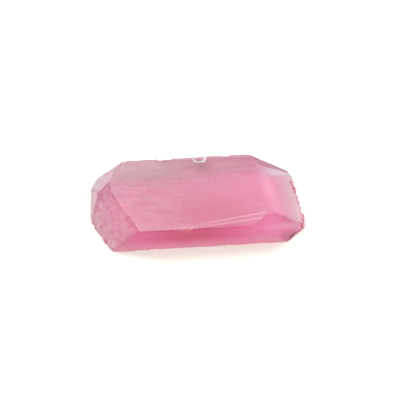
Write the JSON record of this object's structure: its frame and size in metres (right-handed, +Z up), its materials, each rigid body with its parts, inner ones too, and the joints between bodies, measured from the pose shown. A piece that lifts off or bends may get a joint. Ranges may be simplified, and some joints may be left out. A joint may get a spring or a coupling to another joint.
{
  "type": "morganite",
  "caption": "Loose pre-shaped crystal of pink beryl: flat frosted table, steep long sides, sloping end facets, chipped lower edge.",
  "frame": {"origin": "under the middle of the stone, on the floor that its sawn base rests on", "axes": "+X along the stone towards its pale sloping end, +Y towards the back long side, +Z up from the base to the table"},
  "size_m": [0.032, 0.0136, 0.0044],
  "materials": {
    "morganite": "sawn and lightly frosted, see-through pink, glossier where it is chipped"
  },
  "bodies": {
    "root": {"stone": "morganite"}
  },
  "joints": []
}
